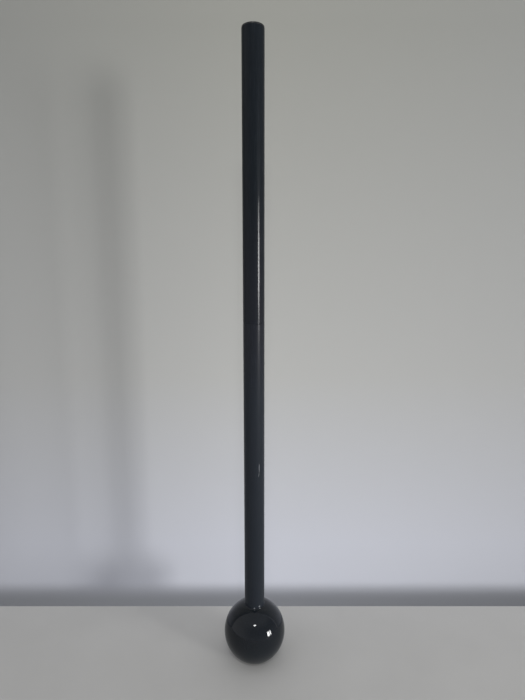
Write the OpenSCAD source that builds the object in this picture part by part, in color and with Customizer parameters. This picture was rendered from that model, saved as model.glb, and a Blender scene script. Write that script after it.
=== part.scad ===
// Devil stick with a ball foot.
// A take-apart stick of two aluminium tubes. An M10 stud joins them, a plug closes
// the top, and a turned ball is bolted onto the lower end from below.
// Millimetres, +Z up, origin in the middle of the foot pad's underside.

/* [Overall] */
// Height from the foot pad to the top of the end cap
total_height = 600; // [560:1:680]
// Height of the joint between the two sections
joint_height = 346; // [310:1:380]

/* [Tubes] */
// Outer diameter of both tubes
tube_d = 20; // [19:0.1:22]
// Wall thickness of both tubes
tube_wall = 1.2; // [1:0.05:1.5]
// Chamfer on the cut ends of the tubes
edge_break = 0.25; // [0.1:0.05:0.4]

/* [Ball] */
// Diameter of the ball
ball_d = 62; // [58:0.5:68]
// Diameter of the flat turned on the underside of the ball
ball_flat_d = 26; // [25:0.5:30]
// Depth of the socket that takes the tube
socket_depth = 19; // [14:0.5:22]
// Chamfer on the rim of the socket
socket_chamfer = 0.4; // [0.2:0.1:0.8]

/* [Foot pad] */
// Diameter of the foot pad
pad_d = 22; // [21.5:0.1:23]
// Thickness of the foot pad
pad_t = 3; // [2.5:0.1:4]
// How far the foot pad stands out of the ball
pad_proud = 0.6; // [0.3:0.1:1]

/* [Ball bolt] */
// Thread diameter of the bolt
bolt_d = 10; // [8:0.5:10]
// Length of the bolt under its head
bolt_length = 50; // [45:1:60]
// Width of the hexagon head across its flats
bolt_head_af = 17; // [15:0.5:17]
// Height of the hexagon head
bolt_head_h = 6.4; // [5.5:0.1:7]
// Outer diameter of the flat washer
washer_d = 20; // [19.7:0.1:20.2]
// Thickness of the flat washer
washer_t = 2; // [1.6:0.1:2.5]
// Outer diameter of the spring washer
lock_washer_d = 18.1; // [17:0.1:18.5]
// Thickness of the spring washer
lock_washer_t = 2.2; // [2:0.1:2.5]
// Width of the split in the spring washer
lock_washer_split = 1.2; // [0.8:0.1:2]

/* [Screw joint] */
// Thread diameter of the joint pin
pin_d = 10; // [8:0.5:10.5]
// Length of thread that reaches into the lower section
pin_reach = 20; // [19.5:0.5:26]
// Length of thread held in the upper section
pin_hold = 22; // [18:0.5:28]
// Chamfer on both ends of the joint pin
pin_chamfer = 1; // [0.5:0.1:1.5]
// Thickness of the rubber ring between the inserts
ring_t = 2; // [1.5:0.1:3]
// Solid metal behind each blind threaded hole
ferrule_end_wall = 5; // [3:0.5:8]
// Width of a glue groove around an insert
groove_w = 2; // [1.5:0.1:2.5]
// Depth of a glue groove
groove_depth = 0.4; // [0.2:0.1:0.6]

/* [End cap] */
// Thickness of the flange that covers the tube's end
cap_flange_t = 1.5; // [1.2:0.1:2.5]
// Chamfer around the top of the flange
cap_chamfer = 0.5; // [0.3:0.1:0.8]
// Length of the part that plugs the tube
cap_plug_length = 14; // [12:0.5:20]
// Wall thickness of the plug
cap_wall = 1.6; // [1.2:0.1:2]
// Number of ribs that grip the tube
cap_ribs = 3; // [2:1:3]
// How far a rib stands out of the plug
cap_rib_h = 0.5; // [0.3:0.1:0.8]
// Height of one rib at its foot
cap_rib_w = 1.6; // [1.2:0.1:2]

/* [Clearances] */
// Radial gap around a piece that is pressed or glued into another
press_gap = 0.02; // [0.01:0.01:0.04]
// Radial gap between the tube and its socket in the ball
socket_gap = 0.1; // [0.05:0.01:0.15]
// Radial gap between the joint pin and the threads it turns in
thread_gap = 0.05; // [0.02:0.01:0.08]
// Gap between faces that meet at the joint but turn against each other
face_gap = 0.05; // [0.03:0.01:0.08]
// Radial gap between the rubber ring and the tube around it
ring_gap = 0.3; // [0.2:0.05:0.5]
// Radial gap between the bolt and the hole through the ball
bolt_gap = 0.25; // [0.2:0.05:0.5]
// Radial gap around the washer in its counterbore
counterbore_gap = 0.3; // [0.2:0.05:0.4]
// Gap between the bolt head and the foot pad
head_gap = 0.6; // [0.4:0.1:1]
// Length of empty hole left beyond the tip of a screw
hole_spare = 4; // [3:0.5:6]
// How far the cap's flange is set in from the outside of the tube
cap_setback = 0.1; // [0.05:0.01:0.2]

/* [Hidden] */
$fn = 96;
// Sides of a hexagon
hex_sides = 6;
// Small overrun, so that a cut passes right through a face
cut = 1;

tube_r = tube_d / 2;
bore_r = tube_r - tube_wall;
insert_r = bore_r - press_gap;

// Ball and what is bolted into it, from the floor up
ball_r = ball_d / 2;
ball_centre_z = pad_proud + sqrt(pow(ball_r, 2) - pow(ball_flat_d / 2, 2));
head_z = pad_t + head_gap;
lock_washer_z = head_z + bolt_head_h;
washer_z = lock_washer_z + lock_washer_t;
counterbore_top_z = washer_z + washer_t;
counterbore_r = washer_d / 2 + counterbore_gap;
bolt_hole_r = bolt_d / 2 + bolt_gap;
bolt_tip_z = lock_washer_z + bolt_length;
socket_r = tube_r + socket_gap;
socket_rim_z = ball_centre_z + sqrt(pow(ball_r, 2) - pow(socket_r, 2));
socket_floor_z = socket_rim_z - socket_depth;

// Plug that the ball's bolt is screwed into
foot_plug_hole = bolt_tip_z - socket_floor_z + hole_spare;
foot_plug_length = foot_plug_hole + ferrule_end_wall;

// Screw joint, from the lower insert up
lower_ferrule_top_z = joint_height - ring_t / 2;
lower_ferrule_hole = pin_reach + hole_spare;
lower_ferrule_length = lower_ferrule_hole + ferrule_end_wall;
ring_z = lower_ferrule_top_z + face_gap;
upper_ferrule_z = ring_z + ring_t + face_gap;
upper_ferrule_length = pin_hold + ferrule_end_wall;
pin_z = lower_ferrule_top_z - pin_reach;
pin_length = upper_ferrule_z + pin_hold - pin_z;
upper_tube_z = joint_height + face_gap;
upper_tube_top_z = total_height - cap_flange_t;

// A cylinder from z = 0 whose end edges are chamfered
module chamfered_rod(r, length, chamfer) {
    rotate_extrude()
        polygon([
            [0, 0], [r - chamfer, 0], [r, chamfer],
            [r, length - chamfer], [r - chamfer, length], [0, length]
        ]);
}

// A flat ring from z = 0
module flat_ring(outer_r, inner_r, thickness) {
    difference() {
        cylinder(r = outer_r, h = thickness);
        translate([0, 0, -cut])
            cylinder(r = inner_r, h = thickness + 2 * cut);
    }
}

// A tube from z = 0, with the outer edges of both ends broken
module cut_tube(length) {
    difference() {
        chamfered_rod(tube_r, length, edge_break);
        translate([0, 0, -cut])
            cylinder(r = bore_r, h = length + 2 * cut);
    }
}

// A round insert from z = 0 with two glue grooves near its ends
module grooved_insert(length) {
    difference() {
        chamfered_rod(insert_r, length, edge_break);
        for (groove_z = [2 * groove_w, length - 3 * groove_w])
            translate([0, 0, groove_z])
                flat_ring(insert_r + cut, insert_r - groove_depth, groove_w);
    }
}

// The cut for a threaded hole whose mouth is at z = 0 and that goes down
module threaded_hole_cut(r, depth) {
    translate([0, 0, -depth])
        cylinder(r = r, h = depth + cut);
    translate([0, 0, -pin_chamfer])
        cylinder(r1 = r, r2 = r + pin_chamfer, h = pin_chamfer);
}

// Turned ball with a socket above and the bolt's counterbore below
module ball() {
    color("#1c1c1e")
        difference() {
            translate([0, 0, ball_centre_z])
                sphere(r = ball_r);
            translate([0, 0, pad_proud - ball_r])
                cylinder(r = ball_r, h = ball_r);
            cylinder(r = pad_d / 2 + press_gap, h = pad_t);
            cylinder(r = counterbore_r, h = counterbore_top_z);
            cylinder(r = bolt_hole_r, h = socket_floor_z + cut);
            translate([0, 0, socket_floor_z])
                cylinder(r = socket_r, h = ball_r);
            translate([0, 0, socket_rim_z - socket_chamfer])
                cylinder(r1 = socket_r, r2 = socket_r + 2 * socket_chamfer, h = 2 * socket_chamfer);
        }
}

// Hexagon bolt that clamps the ball, head down
module ball_bolt() {
    color("#8f9296") {
        translate([0, 0, head_z])
            intersection() {
                cylinder(d = bolt_head_af / cos(180 / hex_sides), h = bolt_head_h, $fn = hex_sides);
                cylinder(
                    r1 = bolt_head_af / 2,
                    r2 = bolt_head_af / 2 + bolt_head_h * tan(60),
                    h = bolt_head_h
                );
            }
        translate([0, 0, lock_washer_z - pin_chamfer])
            chamfered_rod(bolt_d / 2, bolt_length + pin_chamfer, pin_chamfer);
    }
}

// Spring washer, split on one side
module lock_washer() {
    color("#8f9296")
        translate([0, 0, lock_washer_z])
            difference() {
                flat_ring(lock_washer_d / 2, bolt_hole_r, lock_washer_t);
                translate([0, -lock_washer_split / 2, -cut])
                    cube([lock_washer_d, lock_washer_split, lock_washer_t + 2 * cut]);
            }
}

// Flat washer against the wood
module bolt_washer() {
    color("#9a9da1")
        translate([0, 0, washer_z])
            flat_ring(washer_d / 2, bolt_hole_r, washer_t);
}

// Rubber disc that the stick stands on
module foot_pad() {
    color("#2a2a2a")
        chamfered_rod(pad_d / 2, pad_t, edge_break);
}

// Lower section's tube, from the ball's socket to the joint
module lower_tube() {
    color("#242528")
        translate([0, 0, socket_floor_z])
            cut_tube(joint_height - socket_floor_z);
}

// Plug in the bottom of the lower tube, threaded for the ball's bolt
module foot_plug() {
    color("#b4b6b8")
        translate([0, 0, socket_floor_z])
            difference() {
                grooved_insert(foot_plug_length);
                mirror([0, 0, 1])
                    threaded_hole_cut(bolt_d / 2 + press_gap, foot_plug_hole);
            }
}

// Insert in the top of the lower tube, threaded for the joint pin
module lower_ferrule() {
    color("#b4b6b8")
        translate([0, 0, lower_ferrule_top_z])
            difference() {
                translate([0, 0, -lower_ferrule_length])
                    grooved_insert(lower_ferrule_length);
                threaded_hole_cut(pin_d / 2 + thread_gap, lower_ferrule_hole);
            }
}

// Rubber ring on the joint pin, between the two inserts
module joint_ring() {
    color("#2a2a2a")
        translate([0, 0, ring_z])
            flat_ring(bore_r - ring_gap, pin_d / 2 + thread_gap, ring_t);
}

// Stud of the screw joint, fixed in the upper insert
module joint_pin() {
    color("#8f9296")
        translate([0, 0, pin_z])
            chamfered_rod(pin_d / 2, pin_length, pin_chamfer);
}

// Insert in the bottom of the upper tube that holds the joint pin
module upper_ferrule() {
    color("#b4b6b8")
        translate([0, 0, upper_ferrule_z])
            difference() {
                grooved_insert(upper_ferrule_length);
                mirror([0, 0, 1])
                    threaded_hole_cut(pin_d / 2 + press_gap, pin_hold);
            }
}

// Upper section's tube, from the joint to the end cap
module upper_tube() {
    color("#1a1b1d")
        translate([0, 0, upper_tube_z])
            cut_tube(upper_tube_top_z - upper_tube_z);
}

// Moulded plug with a flange over the tube's end and ribs that grip its bore
module end_cap() {
    flange_r = tube_r - cap_setback;
    plug_r = insert_r - cap_rib_h;
    rib_pitch = (cap_plug_length - cap_rib_w) / cap_ribs;
    color("#1c1d1f")
        translate([0, 0, upper_tube_top_z]) {
            rotate_extrude()
                polygon([
                    [0, 0], [flange_r, 0], [flange_r, cap_flange_t - cap_chamfer],
                    [flange_r - cap_chamfer, cap_flange_t], [0, cap_flange_t]
                ]);
            translate([0, 0, -cap_plug_length])
                flat_ring(plug_r, plug_r - cap_wall, cap_plug_length);
            for (i = [0 : cap_ribs - 1])
                translate([0, 0, i * rib_pitch - cap_plug_length + cap_rib_w / 2])
                    difference() {
                        cylinder(r1 = plug_r, r2 = insert_r, h = cap_rib_w);
                        translate([0, 0, -cut])
                            cylinder(r = plug_r - cap_wall, h = cap_rib_w + 2 * cut);
                    }
        }
}

ball();
ball_bolt();
lock_washer();
bolt_washer();
foot_pad();
lower_tube();
foot_plug();
lower_ferrule();
joint_ring();
joint_pin();
upper_ferrule();
upper_tube();
end_cap();
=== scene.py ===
import math

import bmesh
import bpy
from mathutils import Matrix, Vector


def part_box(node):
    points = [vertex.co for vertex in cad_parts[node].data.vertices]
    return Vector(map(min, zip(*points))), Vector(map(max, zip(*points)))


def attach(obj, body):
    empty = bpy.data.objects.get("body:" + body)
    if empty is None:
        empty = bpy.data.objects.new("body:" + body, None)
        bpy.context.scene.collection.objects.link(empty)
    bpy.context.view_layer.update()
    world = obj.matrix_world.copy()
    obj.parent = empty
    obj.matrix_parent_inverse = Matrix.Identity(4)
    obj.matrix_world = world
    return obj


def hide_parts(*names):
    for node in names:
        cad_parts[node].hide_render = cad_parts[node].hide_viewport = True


# Looks of the devil stick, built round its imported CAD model.
# Sizes in the dictionaries are millimetres and heights are from the table,
# unless a note says otherwise.

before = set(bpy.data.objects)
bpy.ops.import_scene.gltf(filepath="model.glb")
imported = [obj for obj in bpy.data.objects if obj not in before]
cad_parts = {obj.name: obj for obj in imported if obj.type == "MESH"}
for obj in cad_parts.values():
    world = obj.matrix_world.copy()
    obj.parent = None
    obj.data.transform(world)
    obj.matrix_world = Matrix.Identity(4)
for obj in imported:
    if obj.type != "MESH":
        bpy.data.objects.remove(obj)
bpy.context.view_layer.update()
bpy.ops.object.select_all(action="DESELECT")
print("frame loaded:", ", ".join(sorted(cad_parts)))

mm = 0.001
shownSides = 192  # sides of the round pieces that show
innerSides = 96  # sides of the round pieces inside
weldDistance = 0.001 * mm
ringTolerance = 0.01
smoothAngle = math.radians(32)
arcSteps = 4  # faces to one rounded corner
guardReach = 1.5  # distance of the points beside a rounding, as a share of its own reach


def heightsOf(node):
    low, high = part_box(node)
    return low[2] / mm, high[2] / mm


def pick(piece):
    bpy.ops.object.select_all(action="DESELECT")
    piece.select_set(True)
    bpy.context.view_layer.objects.active = piece


def settle(name):
    # Names the object just added and takes its place, turn and scale into its mesh
    piece = bpy.context.object
    piece.name = piece.data.name = name
    bpy.ops.object.transform_apply(location=True, rotation=True, scale=True)
    return piece


def startEditing(piece):
    pick(piece)
    bpy.ops.object.mode_set(mode="EDIT")
    bpy.ops.mesh.select_mode(type="VERT")


def selectWhere(piece, wanted, kind="VERT"):
    # Selects the vertices or faces whose middle passes the test, in millimetres
    bpy.ops.mesh.select_mode(type=kind)
    bpy.ops.mesh.select_all(action="DESELECT")
    shape = bmesh.from_edit_mesh(piece.data)
    if kind == "FACE":
        for face in shape.faces:
            face.select = wanted(face.calc_center_median() / mm)
    else:
        for vertex in shape.verts:
            vertex.select = wanted(vertex.co / mm)
        shape.select_flush(True)
    bmesh.update_edit_mesh(piece.data)


def onRing(radius, height):
    def wanted(place):
        away = math.hypot(math.hypot(place.x, place.y) - radius, place.z - height)
        return away < ringTolerance

    return wanted


def roundCorners(profile):
    # A profile point with a third number gets a rounded corner of that radius. One more point
    # on each side of the rounding keeps the smooth shading of the long faces straight.
    points = []
    for index, point in enumerate(profile):
        if len(point) < 3:
            points.append(point)
            continue
        corner = Vector(point[:2])
        before = Vector(profile[index - 1][:2]) - corner
        after = Vector(profile[(index + 1) % len(profile)][:2]) - corner
        half = before.angle(after) / 2
        reach = point[2] / math.tan(half)
        before.normalize()
        after.normalize()
        centre = corner + (before + after).normalized() * (point[2] / math.sin(half))
        start = (corner + before * reach - centre).normalized()
        stop = (corner + after * reach - centre).normalized()
        points.append(tuple(corner + before * reach * guardReach))
        for step in range(arcSteps + 1):
            points.append(tuple(centre + start.slerp(stop, step / arcSteps) * point[2]))
        points.append(tuple(corner + after * reach * guardReach))
    return points


def pullRing(now, target):
    # Extrudes the selected ring of vertices to another radius and height
    lift = (target[1] - now[1]) * mm
    bpy.ops.mesh.extrude_edges_move(TRANSFORM_OT_translate={"value": (0, 0, lift)})
    if target[0] == 0:
        bpy.ops.mesh.merge(type="CENTER")
        return
    grow = target[0] / now[0]
    bpy.ops.transform.resize(value=(grow, grow, 1), center_override=(0, 0, target[1] * mm))


def cutOff(height, side):
    # Cuts the mesh being edited off below or above a height; side is bisect's word for which
    bpy.ops.mesh.select_all(action="SELECT")
    bpy.ops.mesh.bisect(
        plane_co=(0, 0, height * mm), plane_no=(0, 0, 1), threshold=weldDistance, **{side: True}
    )


def closeUp():
    # Welds the seams of the mesh being edited and turns its faces outward
    bpy.ops.mesh.select_mode(type="VERT")
    bpy.ops.mesh.select_all(action="SELECT")
    bpy.ops.mesh.remove_doubles(threshold=weldDistance)
    bpy.ops.mesh.normals_make_consistent(inside=False)
    # A thin edge lying farthest out can turn them all inward, which makes the volume negative
    if bmesh.from_edit_mesh(bpy.context.object.data).calc_volume(signed=True) < 0:
        bpy.ops.mesh.flip_normals()
    bpy.ops.mesh.select_all(action="DESELECT")
    bpy.ops.object.mode_set(mode="OBJECT")


def turnPiece(name, profile, sides, closed):
    # Turns a profile of (radius, height) points by pulling a ring from point to point.
    # A closed profile ends where it began; an open one starts and ends on the axis.
    points = roundCorners(profile)
    path = points + points[:1] if closed else points[1:]
    bpy.ops.object.select_all(action="DESELECT")
    bpy.ops.mesh.primitive_circle_add(
        vertices=sides, radius=path[0][0] * mm, location=(0, 0, path[0][1] * mm)
    )
    piece = settle(name)
    startEditing(piece)
    bpy.ops.mesh.select_all(action="SELECT")
    if not closed:
        pullRing(path[0], points[0])
        selectWhere(piece, onRing(*path[0]))
    for now, target in zip(path, path[1:]):
        pullRing(now, target)
    closeUp()
    return piece


def applyModifier(piece, kind, settings):
    pick(piece)
    bpy.ops.object.modifier_add(type=kind)
    modifier = piece.modifiers[-1]
    for key, value in settings.items():
        setattr(modifier, key, value)
    bpy.ops.object.modifier_apply(modifier=modifier.name)


def combine(piece, tool, operation):
    applyModifier(piece, "BOOLEAN", {"object": tool, "operation": operation, "solver": "EXACT"})
    bpy.data.objects.remove(tool)


def finishPiece(piece, node, body, materials, inner=None):
    # The second material goes on the faces that the inner test picks
    for material in materials:
        piece.data.materials.append(material)
    if inner:
        startEditing(piece)
        selectWhere(piece, inner, "FACE")
        piece.active_material_index = 1
        bpy.ops.object.material_slot_assign()
        bpy.ops.object.mode_set(mode="OBJECT")
    pick(piece)
    bpy.ops.object.shade_smooth_by_angle(angle=smoothAngle)
    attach(piece, body)
    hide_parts(node)
    print(f"{piece.name}: {len(piece.data.polygons)} faces, stands for {node}")


def linearColour(code):
    # From an sRGB code such as #336699 to the linear red, green, blue and alpha of a shader
    channels = []
    for start in (1, 3, 5):
        level = int(code[start:start + 2], 16) / 255
        channels.append(level / 12.92 if level <= 0.04045 else ((level + 0.055) / 1.055) ** 2.4)
    return (*channels, 1)


def addNode(tree, kind, settings=None, links=None):
    # A setting names an input, by its name or number, or else a property of the node
    node = tree.nodes.new(kind)
    for key, value in (settings or {}).items():
        if isinstance(key, int) or key in node.inputs:
            node.inputs[key].default_value = value
        else:
            setattr(node, key, value)
    for key, source in (links or {}).items():
        tree.links.new(source[0].outputs[source[1]], node.inputs[key])
    return node


def newMaterial(name):
    # Returns the material, its tree and its Object coordinates
    material = bpy.data.materials.new(name)
    material.use_nodes = True
    material.node_tree.nodes.clear()
    return material, material.node_tree, addNode(material.node_tree, "ShaderNodeTexCoord")


def perMetre(size):
    # Scale of a noise whose lumps are this many millimetres apart
    return 1 / (size * mm)


def addStreaks(tree, place, width, length, detail):
    # Marks that run along the stick: noise drawn out in Z, its lumps so wide and so long
    drawn = addNode(
        tree,
        "ShaderNodeMapping",
        {"Scale": (1, 1, width / length)},
        {"Vector": (place, "Object")},
    )
    return addNode(
        tree,
        "ShaderNodeTexNoise",
        {"Scale": perMetre(width), "Detail": detail},
        {"Vector": (drawn, "Vector")},
    )


# Enamel sprayed on a drawn aluminium tube and stoved: a blue-black that mirrors a window as a
# narrow bright streak. Its colour is painted greyer towards the joint, a painted reflection of the
# room
glossEnamelLook = {
    "colour": "#11171d",
    "paintedReflectionColour": "#1e2027",  # painted reflection of the room, greyer than the paint
    "paintedReflectionFrom": 470,  # heights between which the painted reflection comes in
    "paintedReflectionTo": 345,
    "rubbedColour": "#1c2228",  # along the hairline rub marks
    "haze": 0.06,  # specular level of the pigmented coat under the clear top
    "hazeRoughness": 0.45,
    "gloss": 0.26,  # weight of the clear top
    "glossRoughness": 0.08,
    "peelSize": 2.2,  # orange peel, crest to crest
    "peelDepth": 0.0014,
    "rubWidth": 0.4,  # real hairlines are finer; drawn as coarse as they can show
    "rubLength": 14,
    "scratchesAndGlints": (),
}

# The same paint with a flattening agent, which spreads light to a wider and dimmer streak.
# A knock has scratched it down to the grey primer, whose pale colour also stands in for a short
# glint, and two pale chips by the ball are painted glints of the lamp and the window.
satinEnamelLook = {
    "colour": "#1f2128",
    # The paler colour lower down is a painted reflection of the table and room
    "paintedReflectionColour": "#242930",
    "paintedReflectionFrom": 345,
    "paintedReflectionTo": 260,
    "rubbedColour": "#282c34",
    "haze": 0.06,
    "hazeRoughness": 0.5,
    "gloss": 0.31,
    "glossRoughness": 0.22,
    "peelSize": 1.6,
    "peelDepth": 0.003,
    "rubWidth": 0.5,
    "rubLength": 10,
    "scratchesAndGlints": (
        # Pale primer marks: the first two a scratch that is also a painted glint, the last two
        # painted glints
        {"azimuth": 30, "radius": 10, "height": 207.5, "length": 9.5, "width": 0.65, "lean": 0},
        {"azimuth": 27, "radius": 10, "height": 200.5, "length": 5.0, "width": 0.4, "lean": 12},
        {"azimuth": 30, "radius": 10, "height": 60.6, "length": 2.2, "width": 2.0, "lean": 0},
        {"azimuth": 0, "radius": 10, "height": 59.3, "length": 2.2, "width": 1.6, "lean": 0},
    ),
}

# Nitro lacquer on the turned ball, flatted and polished: the deepest gloss of the three
ballLacquerLook = {
    "colour": "#12171d",
    "paintedReflectionColour": "#1a2026",  # painted reflection of the table, paler low on the ball
    "paintedReflectionFrom": 40,
    "paintedReflectionTo": 5,
    "rubbedColour": "#181d23",
    "haze": 0.0,
    "hazeRoughness": 0.3,
    "gloss": 0.76,
    "glossRoughness": 0.04,
    "peelSize": 5.0,
    "peelDepth": 0.002,
    "rubWidth": 0.6,
    "rubLength": 6,
    "scratchesAndGlints": (
        # Pale marks; the one at azimuth 95 is a painted reflection below the window's highlight
        {"azimuth": 200, "radius": 29, "height": 36, "length": 5.0, "width": 0.5, "lean": 70},
        {"azimuth": 95, "radius": 30, "height": 24, "length": 3.0, "width": 0.4, "lean": 40},
    ),
}
# Pale grey of the primer, also used for painted glints and reflections
primerAndGlintColour = "#85888c"
rubShare = (0.52, 0.72)  # levels of the noise between which a rub mark comes in
hazeSpread = 0.05  # of the haze's roughness, either way
enamelIor = 1.5
markDepth = 2.0  # a mark reaches this far into the paint and out of it
markEdge = (1.38, 1.22)  # distance and noise together, from whole paint to bare primer


def addMark(tree, place, rubs, mark):
    # A thin ellipsoid at the mark's place, ragged where the noise eats into it
    turn = math.radians(mark["azimuth"])
    radius = mark["radius"] * mm
    near = addNode(
        tree,
        "ShaderNodeMapping",
        {
            "vector_type": "TEXTURE",
            "Location": (radius * math.sin(turn), -radius * math.cos(turn), mark["height"] * mm),
            "Rotation": (0, math.radians(mark["lean"]), turn),
            "Scale": (mark["width"] / 2 * mm, markDepth * mm, mark["length"] / 2 * mm),
        },
        {"Vector": (place, "Object")},
    )
    away = addNode(tree, "ShaderNodeVectorMath", {"operation": "LENGTH"}, {0: (near, "Vector")})
    ragged = addNode(
        tree, "ShaderNodeMath", {"operation": "ADD"}, {0: (away, "Value"), 1: (rubs, "Fac")}
    )
    return addNode(
        tree,
        "ShaderNodeMapRange",
        {"From Min": markEdge[0], "From Max": markEdge[1]},
        {"Value": (ragged, "Value")},
    )


def makePaint(name, look):
    material, tree, place = newMaterial(name)
    peel = addNode(
        tree,
        "ShaderNodeTexNoise",
        {"Scale": perMetre(look["peelSize"]), "Detail": 1.0},
        {"Vector": (place, "Object")},
    )
    rubs = addStreaks(tree, place, look["rubWidth"], look["rubLength"], detail=2.0)
    worn = addNode(
        tree,
        "ShaderNodeMapRange",
        {"From Min": rubShare[0], "From Max": rubShare[1]},
        {"Value": (rubs, "Fac")},
    )
    # Painted reflection: the base colour shifts with height, standing in for the room and table
    # mirrored in the paint
    axes = addNode(tree, "ShaderNodeSeparateXYZ", {}, {"Vector": (place, "Object")})
    paintedReflectionShare = addNode(
        tree,
        "ShaderNodeMapRange",
        {
            "interpolation_type": "SMOOTHSTEP",
            "From Min": look["paintedReflectionFrom"] * mm,
            "From Max": look["paintedReflectionTo"] * mm,
        },
        {"Value": (axes, "Z")},
    )
    colour = addNode(
        tree,
        "ShaderNodeMix",
        {
            "data_type": "RGBA",
            6: linearColour(look["colour"]),
            7: linearColour(look["paintedReflectionColour"]),
        },
        {0: (paintedReflectionShare, "Result")},
    )
    colour = addNode(
        tree,
        "ShaderNodeMix",
        {"data_type": "RGBA", 7: linearColour(look["rubbedColour"])},
        {0: (worn, "Result"), 6: (colour, 2)},
    )
    # Pale primer-coloured marks: scratches, and painted glints and reflections
    for mark in look["scratchesAndGlints"]:
        scratchAndGlintShare = addMark(tree, place, rubs, mark)
        colour = addNode(
            tree,
            "ShaderNodeMix",
            {"data_type": "RGBA", 7: linearColour(primerAndGlintColour)},
            {0: (scratchAndGlintShare, "Result"), 6: (colour, 2)},
        )
    roughness = addNode(
        tree,
        "ShaderNodeMapRange",
        {
            "To Min": look["hazeRoughness"] - hazeSpread,
            "To Max": look["hazeRoughness"] + hazeSpread,
        },
        {"Value": (rubs, "Fac")},
    )
    bump = addNode(
        tree, "ShaderNodeBump", {"Distance": look["peelDepth"] * mm}, {"Height": (peel, "Fac")}
    )
    shader = addNode(
        tree,
        "ShaderNodeBsdfPrincipled",
        {
            "IOR": enamelIor,
            "Specular IOR Level": look["haze"],
            "Coat Weight": look["gloss"],
            "Coat Roughness": look["glossRoughness"],
            "Coat IOR": enamelIor,
        },
        {
            "Base Color": (colour, 2),
            "Roughness": (roughness, "Result"),
            "Normal": (bump, "Normal"),
            "Coat Normal": (bump, "Normal"),
        },
    )
    addNode(tree, "ShaderNodeOutputMaterial", {}, {"Surface": (shader, "BSDF")})
    return material


# Steamed beech, bored and left bare inside the ball: pale brown with short dark flecks along
# the grain and the fine rings of the boring tool
beechLook = {
    "colour": "#c49c6e",
    "fleckColour": "#94683f",
    "fleckWidth": 0.35,  # real vessels are under 0.1; drawn as coarse as they can show
    "fleckLength": 4.0,
    "fleckShare": (0.48, 0.75),  # levels of the noise between which a fleck comes in
    "ringPitch": 0.5,
    "ringDepth": 0.02,
    "roughness": 0.7,
    "ior": 1.45,
}

# Tube bores as they come off the drawing bench: dull, with long straight die lines
drawnAluminiumLook = {
    "colour": "#cfd1d3",
    "shadeColour": "#a9abae",
    "lineWidth": 0.3,
    "lineLength": 25.0,
    "ringPitch": 0,
    "ringDepth": 0,
    "roughness": (0.32, 0.5),
}

# Inserts turned from aluminium bar: bright, with the feed rings of the lathe
turnedAluminiumLook = {
    "colour": "#e2e3e4",
    "shadeColour": "#c6c8ca",
    "lineWidth": 1.5,
    "lineLength": 1.5,
    "ringPitch": 0.3,  # feed is nearer 0.1; drawn coarser so that it shows
    "ringDepth": 0.006,
    "roughness": (0.2, 0.34),
}

# Rolled thread and cold forged head, zinc plated with a clear blue passivate: soft shine
# with cloudy patches
platedSteelLook = {
    "colour": "#c8cdd3",
    "shadeColour": "#a3a7b0",
    "lineWidth": 2.6,
    "lineLength": 2.6,
    "ringPitch": 0,
    "ringDepth": 0,
    "roughness": (0.24, 0.4),
}
lineShare = (0.35, 0.65)  # levels of the noise between which a metal takes its shade


def addRings(tree, place, pitch):
    # Rings round the axis: by height on upright walls, by radius on flat faces
    axes = addNode(tree, "ShaderNodeSeparateXYZ", {}, {"Vector": (place, "Object")})
    flat = addNode(
        tree,
        "ShaderNodeVectorMath",
        {"operation": "MULTIPLY", 1: (1, 1, 0)},
        {0: (place, "Object")},
    )
    radius = addNode(tree, "ShaderNodeVectorMath", {"operation": "LENGTH"}, {0: (flat, "Vector")})
    along = addNode(
        tree, "ShaderNodeMath", {"operation": "ADD"}, {0: (radius, "Value"), 1: (axes, "Z")}
    )
    phase = addNode(
        tree,
        "ShaderNodeMath",
        {"operation": "MULTIPLY", 1: 2 * math.pi / (pitch * mm)},
        {0: (along, "Value")},
    )
    return addNode(tree, "ShaderNodeMath", {"operation": "SINE"}, {0: (phase, "Value")})


def makeWood(name, look):
    material, tree, place = newMaterial(name)
    flecks = addStreaks(tree, place, look["fleckWidth"], look["fleckLength"], detail=3.0)
    share = addNode(
        tree,
        "ShaderNodeMapRange",
        {"From Min": look["fleckShare"][0], "From Max": look["fleckShare"][1]},
        {"Value": (flecks, "Fac")},
    )
    colour = addNode(
        tree,
        "ShaderNodeMix",
        {
            "data_type": "RGBA",
            6: linearColour(look["colour"]),
            7: linearColour(look["fleckColour"]),
        },
        {0: (share, "Result")},
    )
    rings = addRings(tree, place, look["ringPitch"])
    bump = addNode(
        tree, "ShaderNodeBump", {"Distance": look["ringDepth"] * mm}, {"Height": (rings, "Value")}
    )
    shader = addNode(
        tree,
        "ShaderNodeBsdfPrincipled",
        {"Roughness": look["roughness"], "IOR": look["ior"]},
        {"Base Color": (colour, 2), "Normal": (bump, "Normal")},
    )
    addNode(tree, "ShaderNodeOutputMaterial", {}, {"Surface": (shader, "BSDF")})
    return material


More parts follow.
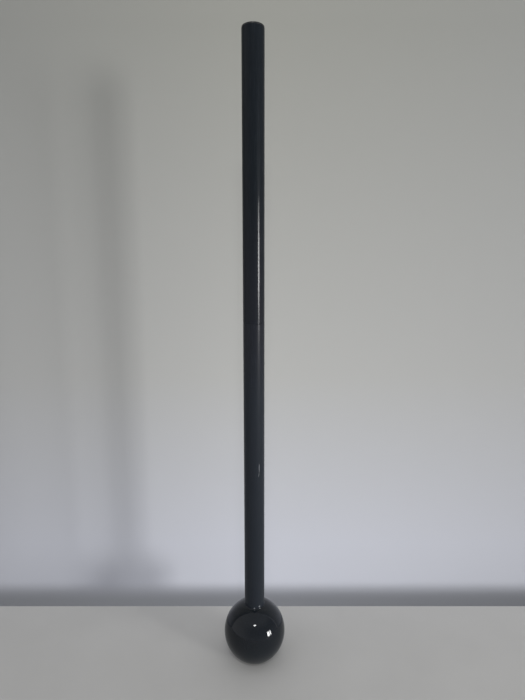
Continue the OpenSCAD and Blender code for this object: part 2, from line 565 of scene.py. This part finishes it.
def makeMetal(name, look):
    material, tree, place = newMaterial(name)
    lines = addStreaks(tree, place, look["lineWidth"], look["lineLength"], detail=3.0)
    share = addNode(
        tree,
        "ShaderNodeMapRange",
        {"From Min": lineShare[0], "From Max": lineShare[1]},
        {"Value": (lines, "Fac")},
    )
    colour = addNode(
        tree,
        "ShaderNodeMix",
        {
            "data_type": "RGBA",
            6: linearColour(look["colour"]),
            7: linearColour(look["shadeColour"]),
        },
        {0: (share, "Result")},
    )
    roughness = addNode(
        tree,
        "ShaderNodeMapRange",
        {"To Min": look["roughness"][0], "To Max": look["roughness"][1]},
        {"Value": (share, "Result")},
    )
    links = {"Base Color": (colour, 2), "Roughness": (roughness, "Result")}
    if look["ringPitch"]:
        rings = addRings(tree, place, look["ringPitch"])
        bump = addNode(
            tree,
            "ShaderNodeBump",
            {"Distance": look["ringDepth"] * mm},
            {"Height": (rings, "Value")},
        )
        links["Normal"] = (bump, "Normal")
    shader = addNode(tree, "ShaderNodeBsdfPrincipled", {"Metallic": 1.0}, links)
    addNode(tree, "ShaderNodeOutputMaterial", {}, {"Surface": (shader, "BSDF")})
    return material


# Cap moulded in black ABS: a fine spark-eroded grain and faint flow clouds
capPlasticLook = {
    "colour": "#090c0f",
    "cloudColour": "#101316",
    "cloudSize": 3.0,
    "grainSize": 0.25,
    "grainDepth": 0.006,
    "roughness": (0.3, 0.42),
    "ior": 1.53,
}

# Pad and ring moulded in black EPDM: matt, with a grey bloom in patches
rubberLook = {
    "colour": "#161617",
    "cloudColour": "#2a2a2b",
    "cloudSize": 2.0,
    "grainSize": 0.3,
    "grainDepth": 0.015,
    "roughness": (0.65, 0.85),
    "ior": 1.52,
}
cloudShare = (0.45, 0.75)  # levels of the noise between which a cloud comes in


def makeMoulded(name, look):
    material, tree, place = newMaterial(name)
    clouds = addNode(
        tree,
        "ShaderNodeTexNoise",
        {"Scale": perMetre(look["cloudSize"]), "Detail": 3.0},
        {"Vector": (place, "Object")},
    )
    share = addNode(
        tree,
        "ShaderNodeMapRange",
        {"From Min": cloudShare[0], "From Max": cloudShare[1]},
        {"Value": (clouds, "Fac")},
    )
    colour = addNode(
        tree,
        "ShaderNodeMix",
        {
            "data_type": "RGBA",
            6: linearColour(look["colour"]),
            7: linearColour(look["cloudColour"]),
        },
        {0: (share, "Result")},
    )
    roughness = addNode(
        tree,
        "ShaderNodeMapRange",
        {"To Min": look["roughness"][0], "To Max": look["roughness"][1]},
        {"Value": (clouds, "Fac")},
    )
    grain = addNode(
        tree,
        "ShaderNodeTexNoise",
        {"Scale": perMetre(look["grainSize"]), "Detail": 2.0},
        {"Vector": (place, "Object")},
    )
    bump = addNode(
        tree, "ShaderNodeBump", {"Distance": look["grainDepth"] * mm}, {"Height": (grain, "Fac")}
    )
    shader = addNode(
        tree,
        "ShaderNodeBsdfPrincipled",
        {"IOR": look["ior"]},
        {
            "Base Color": (colour, 2),
            "Roughness": (roughness, "Result"),
            "Normal": (bump, "Normal"),
        },
    )
    addNode(tree, "ShaderNodeOutputMaterial", {}, {"Surface": (shader, "BSDF")})
    return material


glossEnamel = makePaint("glossEnamelOnAluminium", glossEnamelLook)
satinEnamel = makePaint("satinEnamelOnAluminium", satinEnamelLook)
ballLacquer = makePaint("glossLacquerOnBeech", ballLacquerLook)
bareBeech = makeWood("turnedBeech", beechLook)
drawnAluminium = makeMetal("drawnAluminium", drawnAluminiumLook)
turnedAluminium = makeMetal("turnedAluminium", turnedAluminiumLook)
platedSteel = makeMetal("zincPlatedSteel", platedSteelLook)
capPlastic = makeMoulded("mouldedPlastic", capPlasticLook)
blackRubber = makeMoulded("mouldedRubber", rubberLook)
print("materials ready")

ballShape = {
    "radius": 31.0,
    "flatRadius": 13.0,
    "flatHeight": 0.6,
    "stickRadius": 10.0,
    "bead": 1.2,  # radius of the lacquer bead in the corner between ball and stick
    "beadGap": 0.02,
    "socketRadius": 10.1,
    "socketFloor": heightsOf("lower_tube")[0],
    "boltHoleRadius": 5.25,
    "counterboreRadius": 10.3,
    "counterboreTop": heightsOf("bolt_washer")[1],
    "recessRadius": 11.02,
    "recessTop": heightsOf("foot_pad")[1],
    "leadIn": 1.2,  # the socket narrows to the bead over this length
    "socketEdge": 0.3,
    "counterboreEdge": 0.2,
    "flatEdge": 0.35,
    "lacquerDepth": 0.6,  # faces deeper than this are bare wood
}
ballSeam = 0.02  # the sphere's cut and the pulled ring meet within this distance
beadSteps = 8
ballCentre = ballShape["flatHeight"] + math.sqrt(
    ballShape["radius"] ** 2 - ballShape["flatRadius"] ** 2
)


def turnBall():
    shape = ballShape
    bead = shape["bead"]
    beadRadius = shape["stickRadius"] + shape["beadGap"] + bead
    beadRise = math.sqrt((shape["radius"] + bead) ** 2 - beadRadius ** 2)
    share = shape["radius"] / (shape["radius"] + bead)
    rim = (beadRadius * share, ballCentre + beadRise * share)
    flat = (shape["flatRadius"], shape["flatHeight"])

    bpy.ops.object.select_all(action="DESELECT")
    bpy.ops.mesh.primitive_uv_sphere_add(
        segments=shownSides,
        ring_count=shownSides // 2,
        radius=shape["radius"] * mm,
        location=(0, 0, ballCentre * mm),
    )
    ball = settle("lacqueredBall")
    startEditing(ball)
    cutOff(shape["flatHeight"], "clear_inner")
    cutOff(rim[1], "clear_outer")

    # The bead curves from the ball up to the stick. Then the ring goes down the socket and
    # through the bolt's hole, the counterbore and the pad's recess to the flat.
    path = [rim]
    low = math.atan2(-beadRise, -beadRadius)
    for step in range(1, beadSteps + 1):
        turn = low + (-math.pi - low) * step / beadSteps
        height = ballCentre + beadRise + bead * math.sin(turn)
        path.append((beadRadius + bead * math.cos(turn), height))
    bore = [
        path[-1],
        (shape["socketRadius"], path[-1][1] - shape["leadIn"]),
        (shape["socketRadius"], shape["socketFloor"], shape["socketEdge"]),
        (shape["boltHoleRadius"], shape["socketFloor"], shape["socketEdge"]),
        (shape["boltHoleRadius"], shape["counterboreTop"], shape["socketEdge"]),
        (shape["counterboreRadius"], shape["counterboreTop"], shape["counterboreEdge"]),
        (shape["counterboreRadius"], shape["recessTop"], shape["counterboreEdge"]),
        (shape["recessRadius"], shape["recessTop"], shape["counterboreEdge"]),
        (shape["recessRadius"], shape["flatHeight"], shape["socketEdge"]),
        flat,
    ]
    path += roundCorners(bore)[1:]
    selectWhere(ball, onRing(*rim))
    for now, target in zip(path, path[1:]):
        pullRing(now, target)
    selectWhere(ball, onRing(*flat))
    bpy.ops.mesh.remove_doubles(threshold=ballSeam * mm)
    selectWhere(ball, onRing(*flat))
    bpy.ops.mesh.bevel(offset=shape["flatEdge"] * mm, segments=3)
    closeUp()
    return ball


def insideBall(place):
    depth = ballShape["radius"] - (place - Vector((0, 0, ballCentre))).length
    return depth > ballShape["lacquerDepth"]


finishPiece(
    turnBall(), "ball", "lower_section", [ballLacquer, bareBeech], insideBall
)

tubeShape = {
    "radius": 10.0,
    "boreRadius": 8.8,
    "outerEdge": 0.15,
    "innerEdge": 0.1,
    "bareMargin": 0.05,  # faces within this of the bore have no enamel
}


def cutTube(name, span):
    shape = tubeShape
    profile = [
        (shape["boreRadius"], span[0], shape["innerEdge"]),
        (shape["radius"], span[0], shape["outerEdge"]),
        (shape["radius"], span[1], shape["outerEdge"]),
        (shape["boreRadius"], span[1], shape["innerEdge"]),
    ]
    return turnPiece(name, profile, shownSides, True)


def inBore(place):
    return math.hypot(place.x, place.y) < tubeShape["boreRadius"] + tubeShape["bareMargin"]


finishPiece(
    cutTube("satinLowerTube", heightsOf("lower_tube")),
    "lower_tube",
    "lower_section",
    [satinEnamel, drawnAluminium],
    inBore,
)
finishPiece(
    cutTube("glossUpperTube", heightsOf("upper_tube")),
    "upper_tube",
    "upper_section",
    [glossEnamel, drawnAluminium],
    inBore,
)

capShape = {
    "top": heightsOf("end_cap")[1],
    "tubeTop": heightsOf("upper_tube")[1],
    "flangeRadius": 9.9,
    "rim": 0.5,  # rounding of the upper rim
    "flangeEdge": 0.1,
    "dishRadius": 7.4,
    "dishSlope": 0.8,
    "dishDepth": 0.12,
    "dishEdges": (0.5, 0.4),  # at the foot and at the top of the slope
    "plugRadius": 8.28,
    "plugBore": 6.68,
    "plugLength": 14.0,
    "plugEdges": (0.4, 0.2, 0.5),  # outside, inside and on the floor of the bore
    "ribRadius": 8.78,
    "ribHeight": 1.6,
    "ribCount": 3,
    "ribEdges": (0.08, 0.12),  # at the foot and at the tip
    "gateRadius": 0.9,  # stub left where the plastic ran in
    "gateLength": 0.7,
    "gateTaper": 0.1,
    "gateEdge": 0.15,
}


def mouldCap():
    shape = capShape
    bottom = shape["tubeTop"] - shape["plugLength"]
    gateEnd = shape["tubeTop"] - shape["gateLength"]
    pitch = (shape["plugLength"] - shape["ribHeight"]) / shape["ribCount"]
    profile = [
        (0, shape["top"] - shape["dishDepth"]),
        (shape["dishRadius"], shape["top"] - shape["dishDepth"], shape["dishEdges"][0]),
        (shape["dishRadius"] + shape["dishSlope"], shape["top"], shape["dishEdges"][1]),
        (shape["flangeRadius"], shape["top"], shape["rim"]),
        (shape["flangeRadius"], shape["tubeTop"], shape["flangeEdge"]),
        (shape["plugRadius"], shape["tubeTop"], shape["flangeEdge"]),
    ]
    # Each rib is a barb: square on top and tapering down, so that the plug goes in but not out
    for rib in reversed(range(shape["ribCount"])):
        foot = bottom + shape["ribHeight"] / 2 + rib * pitch
        profile += [
            (shape["plugRadius"], foot + shape["ribHeight"], shape["ribEdges"][0]),
            (shape["ribRadius"], foot + shape["ribHeight"], shape["ribEdges"][1]),
            (shape["plugRadius"], foot),
        ]
    profile += [
        (shape["plugRadius"], bottom, shape["plugEdges"][0]),
        (shape["plugBore"], bottom, shape["plugEdges"][1]),
        (shape["plugBore"], shape["tubeTop"], shape["plugEdges"][2]),
        (shape["gateRadius"], shape["tubeTop"], shape["gateEdge"]),
        (shape["gateRadius"] - shape["gateTaper"], gateEnd, shape["gateEdge"]),
        (0, gateEnd),
    ]
    return turnPiece("endCap", profile, shownSides, False)


finishPiece(mouldCap(), "end_cap", "upper_section", [capPlastic])
print("outer pieces ready")

# M10 screw thread, coarse pitch. Male and female threads share the same helix, so the stud
# turns through the lower insert without touching it.
threadShape = {
    "pitch": 1.5,
    "crest": 4.97,  # male thread
    "root": 4.1,
    "tapCrest": 5.05,  # female thread, cut by a tap
    "tapRoot": 4.2,
    "drillRadius": 4.25,
    "slack": 0.05,
    "flankAngle": 30,
    "flatShare": 1 / 16,  # half of the crest's flat, as a share of the pitch
    "steps": 48,  # to one turn
    "startTurns": 1.5,  # wound below the bottom, to be cut off
    "spareTurns": 4,  # wound beyond the length in all
    "toolMargin": 0.5,  # the chamfering tool is wider than the thread
}
cutTolerance = 0.002


def windThread(name, crest, root, slack, bottom, top):
    # One tooth is drawn point by point, wound up the axis by a Screw modifier
    # and cut flat at both ends
    shape = threadShape
    flank = math.tan(math.radians(shape["flankAngle"]))
    halfCrest = shape["pitch"] * shape["flatShare"] + (shape["crest"] - crest) * flank + slack
    halfRoot = halfCrest + (crest - root) * flank
    first = (math.floor(bottom / shape["pitch"]) - shape["startTurns"]) * shape["pitch"]
    tooth = [
        (root, -halfRoot),
        (crest, -halfCrest),
        (crest, halfCrest),
        (root, halfRoot),
        (root, shape["pitch"] / 2),
    ]
    bpy.ops.object.select_all(action="DESELECT")
    bpy.ops.mesh.primitive_plane_add(size=mm, location=(root * mm, 0, first * mm))
    piece = settle(name)
    startEditing(piece)
    bpy.ops.mesh.select_all(action="SELECT")
    bpy.ops.mesh.merge(type="CENTER")
    now = (root, -shape["pitch"] / 2)
    for target in tooth:
        move = ((target[0] - now[0]) * mm, 0, (target[1] - now[1]) * mm)
        bpy.ops.mesh.extrude_vertices_move(TRANSFORM_OT_translate={"value": move})
        now = target
    bpy.ops.object.mode_set(mode="OBJECT")
    turns = math.ceil((top - bottom) / shape["pitch"]) + shape["spareTurns"]
    settings = {
        "axis": "Z",
        "angle": 2 * math.pi,
        "screw_offset": shape["pitch"] * mm,
        "iterations": turns,
        "steps": shape["steps"],
        "render_steps": shape["steps"],
    }
    applyModifier(piece, "SCREW", settings)
    startEditing(piece)
    bpy.ops.mesh.select_all(action="SELECT")
    bpy.ops.mesh.remove_doubles(threshold=weldDistance)
    for height, side in ((bottom, "clear_inner"), (top, "clear_outer")):
        cutOff(height, side)
        selectWhere(piece, lambda place: abs(place.z - height) < cutTolerance)
        bpy.ops.mesh.edge_face_add()
    closeUp()
    return piece


def cutScrew(name, bottom, top, chamfer):
    # A length of male thread with both ends chamfered
    screw = windThread(name, threadShape["crest"], threadShape["root"], 0, bottom, top)
    wide = threadShape["crest"] + threadShape["toolMargin"]
    profile = [
        (0, bottom),
        (wide - chamfer, bottom),
        (wide, bottom + chamfer),
        (wide, top - chamfer),
        (wide - chamfer, top),
        (0, top),
    ]
    combine(screw, turnPiece("chamferTool", profile, innerSides, False), "INTERSECT")
    return screw


insertShape = {
    "radius": 8.78,
    "edge": 0.3,
    "grooveStart": 4.0,  # glue grooves, from either end
    "grooveWidth": 2.0,
    "grooveDepth": 0.4,
    "grooveEdge": 0.08,
    "mouth": 6.05,
    "mouthEdge": 0.1,
    "drillPoint": 2.5,
    "endWall": 5.0,  # solid metal beyond the hole
    "tapStart": 0.7,  # the tap's thread starts this far outside the mouth
    "tapStop": 0.8,  # and stops this far short of the hole's end
}


def turnInsert(name, node, mouthUp):
    # Turned from bar, then drilled and tapped from its mouth
    shape = insertShape
    drill = threadShape["drillRadius"]
    bottom, top = heightsOf(node)
    mouth, end, inward = (top, bottom, -1) if mouthUp else (bottom, top, 1)
    hole = top - bottom - shape["endWall"]
    grooves = (top - bottom - shape["grooveStart"], shape["grooveStart"] + shape["grooveWidth"])
    profile = [(0, end), (shape["radius"], end, shape["edge"])]
    for far in grooves:
        for across, sunk in ((0, 0), (0, 1), (1, 1), (1, 0)):
            radius = shape["radius"] - sunk * shape["grooveDepth"]
            height = mouth + inward * (far - across * shape["grooveWidth"])
            profile.append((radius, height, shape["grooveEdge"]))
    mouthDepth = shape["mouth"] - drill
    profile += [
        (shape["radius"], mouth, shape["edge"]),
        (shape["mouth"], mouth, shape["mouthEdge"]),
        (drill, mouth + inward * mouthDepth),
        (drill, mouth + inward * hole),
        (0, mouth + inward * (hole + shape["drillPoint"])),
    ]
    insert = turnPiece(name, profile, innerSides, False)
    ends = sorted((mouth - inward * shape["tapStart"], mouth + inward * (hole - shape["tapStop"])))
    crest = threadShape["tapCrest"]
    tap = windThread("tap", crest, threadShape["tapRoot"], threadShape["slack"], *ends)
    combine(insert, tap, "DIFFERENCE")
    return insert


for name, node, body, mouthUp in (
    ("footPlug", "foot_plug", "lower_section", False),
    ("lowerInsert", "lower_ferrule", "lower_section", True),
    ("upperInsert", "upper_ferrule", "upper_section", False),
):
    insert = turnInsert(name, node, mouthUp)
    finishPiece(insert, node, body, [turnedAluminium])

endChamfer = 1.4  # on both ends of the stud and on the bolt
stud = cutScrew("jointStud", *heightsOf("joint_pin"), endChamfer)
finishPiece(stud, "joint_pin", "upper_section", [platedSteel])

boltShape = {
    "headBottom": heightsOf("ball_bolt")[0],
    "headTop": heightsOf("lock_washer")[0],
    "tip": heightsOf("ball_bolt")[1],
    "acrossFlats": 17.0,
    "faceRadius": 8.2,  # round washer face under the head
    "faceHeight": 0.4,
    "faceEdge": 0.1,
    "coneInset": 0.4,  # from the flats to the cone's small end
    "coneEdge": 0.2,
    "coneAngle": 60,  # degrees from the axis
    "neckRadius": 4.4,
    "neckLength": 3.0,
    "neckEdge": 0.3,
    "neckStart": 1.0,  # inside the head, above its bottom
    "neckOverlap": 0.5,  # of the neck with the thread
}


def forgeBolt():
    # A hexagon with its lower corners cut to a cone, a washer face, a short neck
    # and thread up to the tip
    shape = boltShape
    headHeight = shape["headTop"] - shape["headBottom"] - shape["faceHeight"]
    neckTop = shape["headTop"] + shape["neckLength"]
    halfSide = math.radians(30)  # half of a hexagon's side as its centre sees it
    bpy.ops.object.select_all(action="DESELECT")
    bpy.ops.mesh.primitive_cylinder_add(
        vertices=6,
        radius=shape["acrossFlats"] / 2 / math.cos(halfSide) * mm,
        depth=headHeight * mm,
        location=(0, 0, (shape["headBottom"] + headHeight / 2) * mm),
        rotation=(0, 0, halfSide),
    )
    head = settle("ballBolt")
    small = shape["acrossFlats"] / 2 - shape["coneInset"]
    large = small + headHeight * math.tan(math.radians(shape["coneAngle"]))
    cone = [
        (0, shape["headBottom"]),
        (small, shape["headBottom"], shape["coneEdge"]),
        (large, shape["headBottom"] + headHeight),
        (0, shape["headBottom"] + headHeight),
    ]
    combine(head, turnPiece("coneTool", cone, innerSides, False), "INTERSECT")
    neckBottom = shape["headBottom"] + shape["neckStart"]
    neck = [
        (0, neckBottom),
        (shape["faceRadius"], neckBottom),
        (shape["faceRadius"], shape["headTop"], shape["faceEdge"]),
        (shape["neckRadius"], shape["headTop"], shape["neckEdge"]),
        (shape["neckRadius"], neckTop + shape["neckOverlap"]),
        (0, neckTop + shape["neckOverlap"]),
    ]
    combine(head, turnPiece("neckTool", neck, innerSides, False), "UNION")
    combine(head, cutScrew("screwTool", neckTop, shape["tip"], endChamfer), "UNION")
    return head


finishPiece(forgeBolt(), "ball_bolt", "lower_section", [platedSteel])

washerShape = {
    "boreRadius": 5.25,
    "radius": 10.0,
    "rolledEdge": 0.4,  # the punch rounds the rim on one side and the hole on the other
    "sharpEdge": 0.08,
}


def punchWasher():
    shape = washerShape
    bottom, top = heightsOf("bolt_washer")
    profile = [
        (shape["boreRadius"], bottom, shape["sharpEdge"]),
        (shape["radius"], bottom, shape["rolledEdge"]),
        (shape["radius"], top, shape["sharpEdge"]),
        (shape["boreRadius"], top, shape["rolledEdge"]),
    ]
    return turnPiece("flatWasher", profile, innerSides, True)


finishPiece(punchWasher(), "bolt_washer", "lower_section", [platedSteel])

springShape = {
    "boreRadius": 5.25,
    "radius": 9.05,
    "split": 1.2,
    "edge": 0.35,
    "slant": 9,  # degrees that the cut leans over
    "endMargin": 0.01,  # radians past the wire's ends that still count as ends
}


def coilWasher():
    # A rectangle of wire with rounded corners, spun round until the gap of the split is left
    shape = springShape
    bottom, top = heightsOf("lock_washer")
    middle = (shape["boreRadius"] + shape["radius"]) / 2
    gap = shape["split"] / middle
    bpy.ops.object.select_all(action="DESELECT")
    bpy.ops.mesh.primitive_plane_add(
        size=1,
        location=(middle * mm, 0, (bottom + top) / 2 * mm),
        rotation=(math.radians(90), 0, 0),
    )
    width = shape["radius"] - shape["boreRadius"]
    bpy.context.object.scale = (width * mm, (top - bottom) * mm, 1)
    washer = settle("springWasher")
    startEditing(washer)
    bpy.ops.mesh.select_all(action="SELECT")
    bpy.ops.mesh.bevel(offset=shape["edge"] * mm, segments=3, affect="VERTICES")
    bpy.ops.mesh.select_all(action="SELECT")
    bpy.ops.transform.rotate(value=-gap / 2, orient_axis="Z", center_override=(0, 0, 0))
    bpy.ops.mesh.spin(
        steps=innerSides, angle=2 * math.pi - gap, center=(0, 0, 0), axis=(0, 0, 1)
    )
    reach = gap / 2 + shape["endMargin"]

    def inEndsTop(place):
        return place.z > (bottom + top) / 2 and abs(math.atan2(place.y, place.x)) < reach

    selectWhere(washer, inEndsTop)
    bpy.ops.transform.rotate(
        value=math.radians(shape["slant"]), orient_axis="Z", center_override=(0, 0, 0)
    )
    closeUp()
    return washer


finishPiece(coilWasher(), "lock_washer", "lower_section", [platedSteel])

ringShape = {"boreRadius": 5.05, "radius": 8.5, "edge": 0.5}


def mouldRing():
    shape = ringShape
    bottom, top = heightsOf("joint_ring")
    profile = [
        (shape["boreRadius"], bottom, shape["edge"]),
        (shape["radius"], bottom, shape["edge"]),
        (shape["radius"], top, shape["edge"]),
        (shape["boreRadius"], top, shape["edge"]),
    ]
    return turnPiece("jointRing", profile, innerSides, True)


finishPiece(mouldRing(), "joint_ring", "joint_seal", [blackRubber])

padShape = {
    "radius": 11.0,
    "thickness": heightsOf("foot_pad")[1],
    "edge": 0.25,
    "grooves": ((7.6, 8.6), (4.4, 5.4)),  # grip grooves underneath, inner and outer radius
    "grooveDepth": 0.4,
    "grooveEdges": (0.15, 0.1),  # at the rim and on the floor
}


def mouldPad():
    shape = padShape
    rimEdge, floorEdge = shape["grooveEdges"]
    profile = [
        (0, shape["thickness"]),
        (shape["radius"], shape["thickness"], shape["edge"]),
        (shape["radius"], 0, shape["edge"]),
    ]
    for inner, outer in shape["grooves"]:
        profile += [
            (outer, 0, rimEdge),
            (outer, shape["grooveDepth"], floorEdge),
            (inner, shape["grooveDepth"], floorEdge),
            (inner, 0, rimEdge),
        ]
    profile.append((0, 0))
    return turnPiece("footPad", profile, innerSides, False)


finishPiece(mouldPad(), "foot_pad", "lower_section", [blackRubber])
print("inner pieces ready")

# A table in matt paint, pale and faintly uneven, that ends a little way in front of the wall.
# Its lengths are metres.
tableLook = {
    "front": -1.4,
    "rear": 0.0734,
    "width": 2.8,
    "thickness": 0.03,
    "edge": 0.001,
    "drop": 0.00002,  # below the foot pad, so that the two don't share a face
    "colour": "#cdccc9",
    "mottleScale": 14.0,  # patches to a metre
    "mottle": (0.94, 1.04),  # darkest and brightest share of the colour
    "roughness": 0.85,
    "specular": 0.1,
}


def makeTable():
    look = tableLook
    material, tree, place = newMaterial("paintedTable")
    mottle = addNode(
        tree,
        "ShaderNodeTexNoise",
        {"Scale": look["mottleScale"], "Detail": 3.0},
        {"Vector": (place, "Object")},
    )
    level = addNode(
        tree,
        "ShaderNodeMapRange",
        {"To Min": look["mottle"][0], "To Max": look["mottle"][1]},
        {"Value": (mottle, "Fac")},
    )
    colour = addNode(
        tree,
        "ShaderNodeVectorMath",
        {"operation": "SCALE", 0: linearColour(look["colour"])[:3]},
        {"Scale": (level, "Result")},
    )
    shader = addNode(
        tree,
        "ShaderNodeBsdfPrincipled",
        {"Roughness": look["roughness"], "Specular IOR Level": look["specular"]},
        {"Base Color": (colour, "Vector")},
    )
    addNode(tree, "ShaderNodeOutputMaterial", {}, {"Surface": (shader, "BSDF")})
    middle = (look["rear"] + look["front"]) / 2
    bpy.ops.object.select_all(action="DESELECT")
    bpy.ops.mesh.primitive_cube_add(
        size=1,
        location=(0, middle, -look["thickness"] / 2 - look["drop"]),
        scale=(look["width"], look["rear"] - look["front"], look["thickness"]),
    )
    table = settle("paleTable")
    applyModifier(table, "BEVEL", {"width": look["edge"], "segments": 3})
    table.data.materials.append(material)


# A wall rolled with matt emulsion, with light and shade painted into its colour. Its lengths and
# heights are metres.
wallLook = {
    "distance": 0.1246,  # behind the stick
    "size": 2.8,
    "foot": -0.3,
    "colour": "#b0b2b7",
    # Painted light and shade by height: darkest behind the table, a painted shadow of the table,
    # palest just above it and painted duller higher up, where the window's light falls off. Each
    # row has the heights between which it changes, how it changes, and the colour it gets.
    "paintedLightByHeight": (
        (-0.032, -0.002, "SMOOTHSTEP", "#dfe1ea"),
        (0.05, 0.27, "LINEAR", "#c8c8c5"),
        (0.27, 0.66, "LINEAR", "#a2a29b"),
    ),
    # Painted falloff of the light: duller to either side, then painted paler towards its ends to
    # meet the room's light
    "paintedLightToSides": ((0.03, 0.85, "LINEAR", "#7e7f82"), (0.85, 1.4, "LINEAR", "#f0f0f2")),
    "roughness": 0.8,
}


def fadeThrough(tree, first, tones):
    # Goes from the first colour to each row's in turn, along the value that the row starts with.
    # A Mix node's share is its input 0, and its colours are inputs 6 and 7 and output 2.
    under = {}
    for value, low, high, change, tone in tones:
        share = addNode(
            tree,
            "ShaderNodeMapRange",
            {"interpolation_type": change, "From Min": low, "From Max": high},
            {"Value": value},
        )
        colour = addNode(
            tree,
            "ShaderNodeMix",
            {"data_type": "RGBA", 6: linearColour(first), 7: linearColour(tone)},
            {0: (share, "Result"), **under},
        )
        under = {6: (colour, 2)}
    return colour


def makeWall():
    look = wallLook
    material, tree, place = newMaterial("paintedWall")
    axes = addNode(tree, "ShaderNodeSeparateXYZ", {}, {"Vector": (place, "Object")})
    away = addNode(tree, "ShaderNodeMath", {"operation": "ABSOLUTE"}, {0: (axes, "X")})
    tones = [((axes, "Z"), *row) for row in look["paintedLightByHeight"]]
    tones += [((away, "Value"), *row) for row in look["paintedLightToSides"]]
    colour = fadeThrough(tree, look["colour"], tones)
    shader = addNode(
        tree,
        "ShaderNodeBsdfPrincipled",
        {"Roughness": look["roughness"]},
        {"Base Color": (colour, 2)},
    )
    # A camera behind the wall looks through it
    side = addNode(tree, "ShaderNodeNewGeometry")
    ray = addNode(tree, "ShaderNodeLightPath")
    through = addNode(
        tree,
        "ShaderNodeMath",
        {"operation": "MULTIPLY"},
        {0: (side, "Backfacing"), 1: (ray, "Is Camera Ray")},
    )
    clear = addNode(tree, "ShaderNodeBsdfTransparent")
    mix = addNode(
        tree,
        "ShaderNodeMixShader",
        {},
        {0: (through, "Value"), 1: (shader, "BSDF"), 2: (clear, "BSDF")},
    )
    addNode(tree, "ShaderNodeOutputMaterial", {}, {"Surface": (mix, "Shader")})
    bpy.ops.object.select_all(action="DESELECT")
    bpy.ops.mesh.primitive_plane_add(
        size=look["size"],
        location=(0, look["distance"], look["size"] / 2 + look["foot"]),
        rotation=(math.radians(90), 0, 0),
    )
    wall = settle("paleWall")
    wall.data.materials.append(material)


makeTable()
makeWall()

# A window of two panes on the right. Three panels share each pane, one inside the other,
# which makes the window fade towards its top and bottom. Its lengths are metres.
windowLight = {
    "azimuth": 57,  # degrees to the right of the camera
    "distance": 3.0,  # from the stick
    "panes": ((-0.38, 0.04, 46), (0.16, 0.4, 30)),  # left and right edge, and radiance
    "panels": ((0.02, 0.87), (0.14, 0.76), (0.26, 0.64)),  # bottom and top
    "panelGap": 0.01,
}

# A small oval lamp overhead, in metres and degrees
lampLight = {
    "azimuth": 2,
    "elevation": 49,
    "distance": 2.2,
    "width": 0.36,
    "depth": 0.2,
    "radiance": 29,
}

# The room is darkest a little above eye level and paler towards the ceiling and the left. Each
# row has the axis along which it changes, two places on it between -1 and 1, how it changes,
# and the colour it gets. Z points up and X to the right.
roomLook = {
    "colour": "#a9aaad",
    "tones": (
        ("Z", -0.05, 0.35, "SMOOTHSTEP", "#949598"),
        ("Z", 0.5, 0.8, "SMOOTHSTEP", "#b8b9bc"),
        ("X", -0.1, -1.0, "SMOOTHSTEP", "#c9cacd"),
    ),
}


def atAzimuth(azimuth, distance, sideways, height):
    turn = math.radians(azimuth)
    forward = Vector((math.sin(turn), -math.cos(turn), 0))
    right = Vector((math.cos(turn), math.sin(turn), 0))
    return forward * distance + right * sideways + Vector((0, 0, height))


def addPanel(name, shape, place, target, width, height, radiance):
    facing = (target - place).to_track_quat("-Z", "Y").to_euler()
    bpy.ops.object.light_add(type="AREA", location=place, rotation=facing)
    panel = bpy.context.object
    panel.name = name
    panel.visible_camera = False
    panel.data.shape = shape
    panel.data.size = width
    panel.data.size_y = height
    area = width * height * (math.pi / 4 if shape == "ELLIPSE" else 1)
    panel.data.energy = radiance * math.pi * area


def addWindow():
    window = windowLight
    for left, right, radiance in window["panes"]:
        for index, (bottom, top) in enumerate(window["panels"]):
            middle = (bottom + top) / 2
            distance = window["distance"] + index * window["panelGap"]
            addPanel(
                "windowPane",
                "RECTANGLE",
                atAzimuth(window["azimuth"], distance, (left + right) / 2, middle),
                Vector((0, 0, middle)),
                right - left,
                top - bottom,
                radiance / len(window["panels"]),
            )


def addLamp():
    lamp = lampLight
    rise = math.radians(lamp["elevation"])
    away = math.cos(rise) * lamp["distance"]
    place = atAzimuth(lamp["azimuth"], away, 0, math.sin(rise) * lamp["distance"])
    addPanel(
        "ceilingLamp", "ELLIPSE", place, Vector(), lamp["width"], lamp["depth"], lamp["radiance"]
    )


def lightRoom():
    world = bpy.data.worlds.new("paleRoom")
    bpy.context.scene.world = world
    world.use_nodes = True
    tree = world.node_tree
    tree.nodes.clear()
    direction = addNode(tree, "ShaderNodeTexCoord")
    axes = addNode(tree, "ShaderNodeSeparateXYZ", {}, {"Vector": (direction, "Generated")})
    tones = [((axes, axis), *row) for axis, *row in roomLook["tones"]]
    colour = fadeThrough(tree, roomLook["colour"], tones)
    room = addNode(tree, "ShaderNodeBackground", {}, {"Color": (colour, 2)})
    addNode(tree, "ShaderNodeOutputWorld", {}, {"Surface": (room, "Background")})


addWindow()
addLamp()
lightRoom()

cameraPlace = {
    "location": (0.00813, -0.45246, 0.39272),  # metres
    "tiltDown": 9.0,  # degrees
    "lens": 25,
    "sensor": 36,
}
bpy.ops.object.camera_add(
    location=cameraPlace["location"],
    rotation=(math.radians(90 - cameraPlace["tiltDown"]), 0, 0),
)
camera = bpy.context.object
camera.name = "studioCamera"
camera.data.lens = cameraPlace["lens"]
camera.data.sensor_width = cameraPlace["sensor"]
bpy.context.scene.camera = camera
bpy.context.scene.view_settings.view_transform = "Standard"
print("stage, lights and camera ready")
